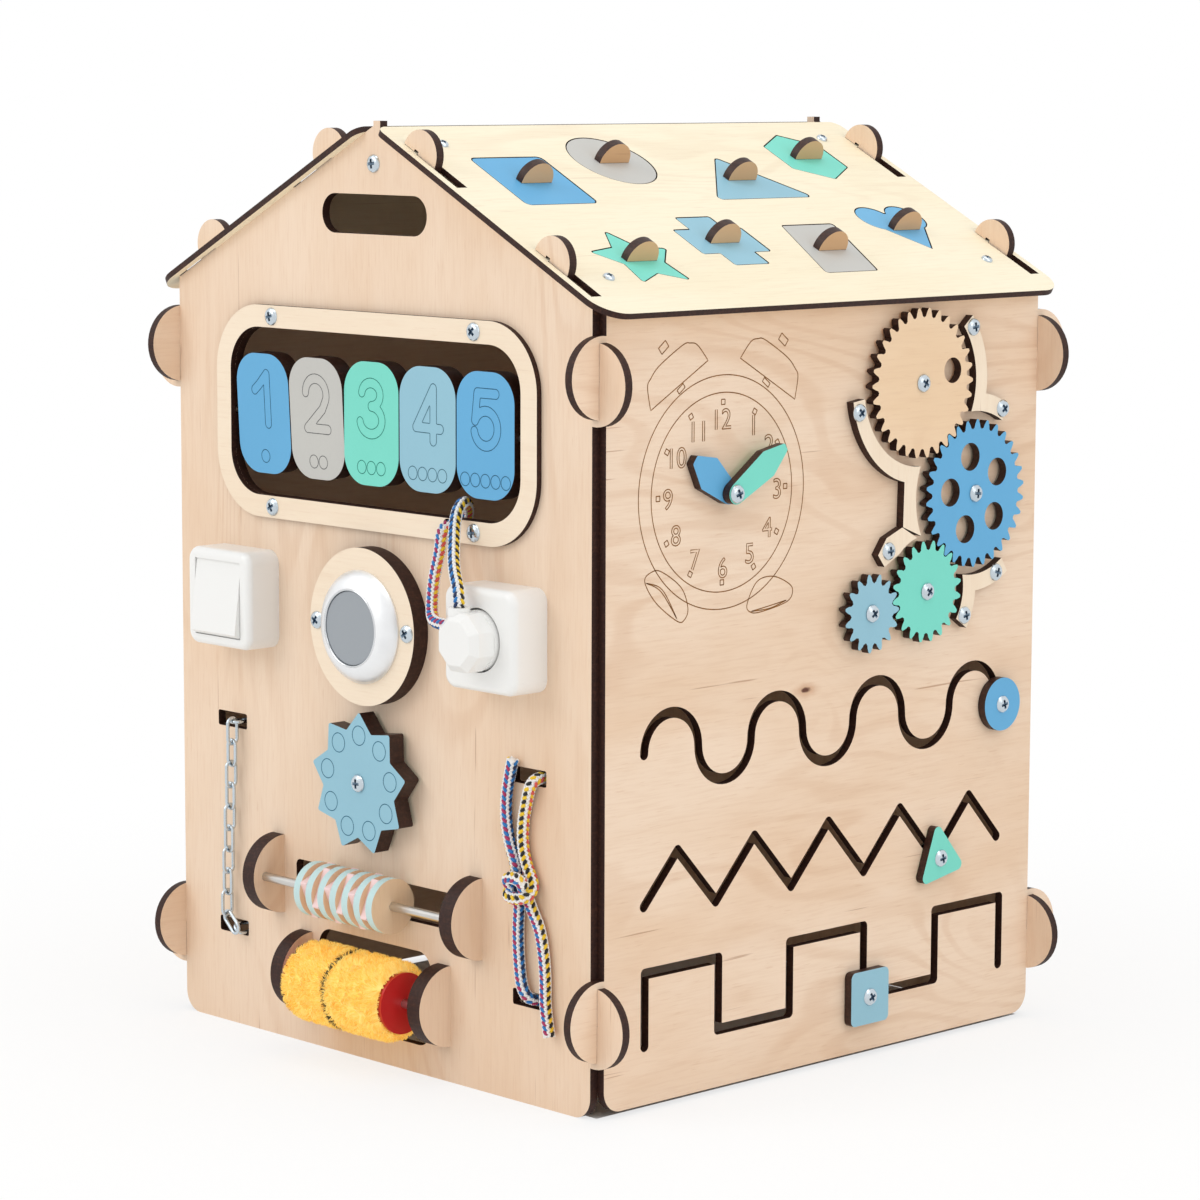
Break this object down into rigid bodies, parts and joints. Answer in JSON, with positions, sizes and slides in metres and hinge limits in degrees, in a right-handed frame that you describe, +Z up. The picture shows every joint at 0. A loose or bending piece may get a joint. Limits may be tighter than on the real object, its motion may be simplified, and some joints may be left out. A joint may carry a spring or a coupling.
{
  "type": "wooden busy board house",
  "caption": "House-shaped plywood activity toy with a lift-out shape puzzle roof, turning blocks, meshing gears, clock hands, sliders, switch, plug, lamp, rollers, chain and rope",
  "frame": {"origin": "on the floor under the middle of the whole toy, rollers included", "axes": "+Z up, the gable with the window faces -Y, the panel with the clock and gears faces +X"},
  "size_m": [0.4602, 0.4846, 0.6115],
  "materials": {
    "birch": "unfinished birch plywood with dark laser-cut edges",
    "birch_pale": "unfinished pale birch plywood",
    "blue_wood": "satin blue paint on plywood",
    "pale_blue_wood": "satin pale-blue paint on plywood",
    "mint_wood": "satin mint paint on plywood",
    "grey_wood": "satin light-grey paint on plywood",
    "white_plastic": "glossy white ABS",
    "silver_plastic": "satin silver",
    "grey_plastic": "satin grey",
    "black_plastic": "black moulding",
    "red_plastic": "glossy red",
    "zinc": "zinc-plated steel",
    "rope": "braided cord, white with coloured tracers",
    "fleece": "yellow pile fabric"
  },
  "bodies": {
    "house": {"back_panel": "birch", "block_rod": "zinc", "chain": "zinc", "drum_brackets": "birch_pale", "front_panel": "birch", "front_screws": "zinc", "gear_guides": "birch_pale", "lamp_bezel": "silver_plastic", "lamp_body": "black_plastic", "lamp_ring": "birch_pale", "left_panel": "birch", "left_roof_panel": "birch", "plug_cord": "rope", "right_panel": "birch", "right_roof_panel": "birch", "roof_backing_board": "birch", "roof_screws": "zinc", "rope_knot": "rope", "rope_lower": "rope", "rope_upper": "rope", "side_screws": "zinc", "sleeve_axle": "zinc", "sleeve_brackets": "birch_pale", "socket_housing": "white_plastic", "switch_housing": "white_plastic", "window_frame": "birch_pale"},
    "block_1": {"number_block_1": "blue_wood"},
    "block_2": {"number_block_2": "grey_wood"},
    "block_3": {"number_block_3": "mint_wood"},
    "block_4": {"number_block_4": "pale_blue_wood"},
    "block_5": {"number_block_5": "blue_wood"},
    "rocker": {"switch_rocker": "white_plastic"},
    "plug_body": {"plug": "white_plastic"},
    "lamp_push": {"lamp_button": "grey_plastic"},
    "star": {"star_wheel": "pale_blue_wood"},
    "drum_shaft": {"drum_rod": "zinc"},
    "drum": {"drum_discs": "pale_blue_wood", "drum_spacers": "birch"},
    "sleeve": {"paint_roller_sleeve": "fleece", "sleeve_hubs": "red_plastic"},
    "hour": {"hour_hand": "blue_wood"},
    "minute": {"minute_hand": "mint_wood"},
    "large_wheel": {"large_gear": "birch_pale"},
    "blue_wheel": {"blue_gear": "blue_wood"},
    "mint_wheel": {"mint_gear": "mint_wood"},
    "small_wheel": {"small_gear": "pale_blue_wood"},
    "round_bead": {"round_slider": "blue_wood", "round_slider_fixing": "zinc"},
    "triangle_bead": {"triangle_slider": "mint_wood", "triangle_slider_fixing": "zinc"},
    "square_bead": {"square_slider": "pale_blue_wood", "square_slider_fixing": "zinc"},
    "puzzle_circle_body": {"puzzle_circle": "grey_wood"},
    "puzzle_cross_body": {"puzzle_cross": "pale_blue_wood"},
    "puzzle_heart_body": {"puzzle_heart": "blue_wood"},
    "puzzle_hexagon_body": {"puzzle_hexagon": "mint_wood"},
    "puzzle_rhomboid_body": {"puzzle_rhomboid": "grey_wood"},
    "puzzle_square_body": {"puzzle_square": "blue_wood"},
    "puzzle_star_body": {"puzzle_star": "mint_wood"},
    "puzzle_triangle_body": {"puzzle_triangle": "pale_blue_wood"}
  },
  "joints": [
    {"name": "block_1_turn", "type": "hinge", "parent": "house", "child": "block_1", "pos_m": [-0.1088, -0.1931, 0.4189], "axis": [1, 0, 0], "continuous": true},
    {"name": "block_2_turn", "type": "hinge", "parent": "house", "child": "block_2", "pos_m": [-0.0544, -0.1931, 0.4189], "axis": [1, 0, 0], "continuous": true},
    {"name": "block_3_turn", "type": "hinge", "parent": "house", "child": "block_3", "pos_m": [0, -0.1931, 0.4189], "axis": [1, 0, 0], "continuous": true},
    {"name": "block_4_turn", "type": "hinge", "parent": "house", "child": "block_4", "pos_m": [0.0544, -0.1931, 0.4189], "axis": [1, 0, 0], "continuous": true},
    {"name": "block_5_turn", "type": "hinge", "parent": "house", "child": "block_5", "pos_m": [0.1088, -0.1931, 0.4189], "axis": [1, 0, 0], "continuous": true},
    {"name": "rocker_tilt", "type": "hinge", "parent": "house", "child": "rocker", "pos_m": [-0.1308, -0.2101, 0.2954], "axis": [1, 0, 0], "range_deg": [0, 14]},
    {"name": "plug_pull", "type": "slide", "parent": "house", "child": "plug_body", "axis": [0, -1, 0], "range_m": [0, 0.03]},
    {"name": "lamp_press", "type": "slide", "parent": "house", "child": "lamp_push", "axis": [0, 1, 0], "range_m": [0, 0.0025], "stiffness_N_per_m": 900, "springref_m": -0.001},
    {"name": "star_spin", "type": "hinge", "parent": "house", "child": "star", "pos_m": [0, -0.1993, 0.1868], "axis": [0, -1, 0], "continuous": true},
    {"name": "drum_spin", "type": "hinge", "parent": "house", "child": "drum_shaft", "pos_m": [-0.004, -0.2125, 0.1115], "axis": [1, 0, 0], "continuous": true},
    {"name": "drum_shift", "type": "slide", "parent": "drum_shaft", "child": "drum", "axis": [1, 0, 0], "range_m": [-0.038, 0.0422]},
    {"name": "sleeve_spin", "type": "hinge", "parent": "house", "child": "sleeve", "pos_m": [-0.0035, -0.2125, 0.0498], "axis": [1, 0, 0], "continuous": true},
    {"name": "hour_turn", "type": "hinge", "parent": "house", "child": "hour", "pos_m": [0.2105, -0.0894, 0.3836], "axis": [1, 0, 0], "continuous": true},
    {"name": "minute_turn", "type": "hinge", "parent": "house", "child": "minute", "pos_m": [0.2165, -0.0894, 0.3836], "axis": [1, 0, 0], "continuous": true},
    {"name": "large_gear_spin", "type": "hinge", "parent": "house", "child": "large_wheel", "pos_m": [0.2115, 0.08847, 0.44275], "axis": [1, 0, 0], "continuous": true},
    {"name": "blue_gear_spin", "type": "hinge", "parent": "house", "child": "blue_wheel", "pos_m": [0.2115, 0.1419, 0.367], "axis": [1, 0, 0], "continuous": true},
    {"name": "mint_gear_spin", "type": "hinge", "parent": "house", "child": "mint_wheel", "pos_m": [0.2115, 0.09509, 0.30555], "axis": [1, 0, 0], "continuous": true},
    {"name": "small_gear_spin", "type": "hinge", "parent": "house", "child": "small_wheel", "pos_m": [0.2115, 0.04188, 0.29588], "axis": [1, 0, 0], "continuous": true},
    {"name": "round_slider_arc", "type": "hinge", "parent": "house", "child": "round_bead", "pos_m": [0.2105, 0.1514, 0.226], "axis": [1, 0, 0], "range_deg": [0, 180]},
    {"name": "triangle_slider_leg", "type": "slide", "parent": "house", "child": "triangle_bead", "axis": [0, -0.679, 0.7341], "range_m": [0, 0.0503]},
    {"name": "square_slider_run", "type": "slide", "parent": "house", "child": "square_bead", "axis": [0, 1, 0], "range_m": [0, 0.07]},
    {"name": "puzzle_circle_lift", "type": "slide", "parent": "house", "child": "puzzle_circle_body", "axis": [0.4571, 0, 0.8894], "range_m": [0, 0.03]},
    {"name": "puzzle_cross_lift", "type": "slide", "parent": "house", "child": "puzzle_cross_body", "axis": [0.4571, 0, 0.8894], "range_m": [0, 0.03]},
    {"name": "puzzle_heart_lift", "type": "slide", "parent": "house", "child": "puzzle_heart_body", "axis": [0.4571, 0, 0.8894], "range_m": [0, 0.03]},
    {"name": "puzzle_hexagon_lift", "type": "slide", "parent": "house", "child": "puzzle_hexagon_body", "axis": [0.4571, 0, 0.8894], "range_m": [0, 0.03]},
    {"name": "puzzle_rhomboid_lift", "type": "slide", "parent": "house", "child": "puzzle_rhomboid_body", "axis": [0.4571, 0, 0.8894], "range_m": [0, 0.03]},
    {"name": "puzzle_square_lift", "type": "slide", "parent": "house", "child": "puzzle_square_body", "axis": [0.4571, 0, 0.8894], "range_m": [0, 0.03]},
    {"name": "puzzle_star_lift", "type": "slide", "parent": "house", "child": "puzzle_star_body", "axis": [0.4571, 0, 0.8894], "range_m": [0, 0.03]},
    {"name": "puzzle_triangle_lift", "type": "slide", "parent": "house", "child": "puzzle_triangle_body", "axis": [0.4571, 0, 0.8894], "range_m": [0, 0.03]}
  ],
  "couplings": [
    {"joint": "blue_gear_spin", "follows": "large_gear_spin", "ratio": -1},
    {"joint": "mint_gear_spin", "follows": "large_gear_spin", "ratio": 1.5},
    {"joint": "small_gear_spin", "follows": "large_gear_spin", "ratio": -2}
  ]
}
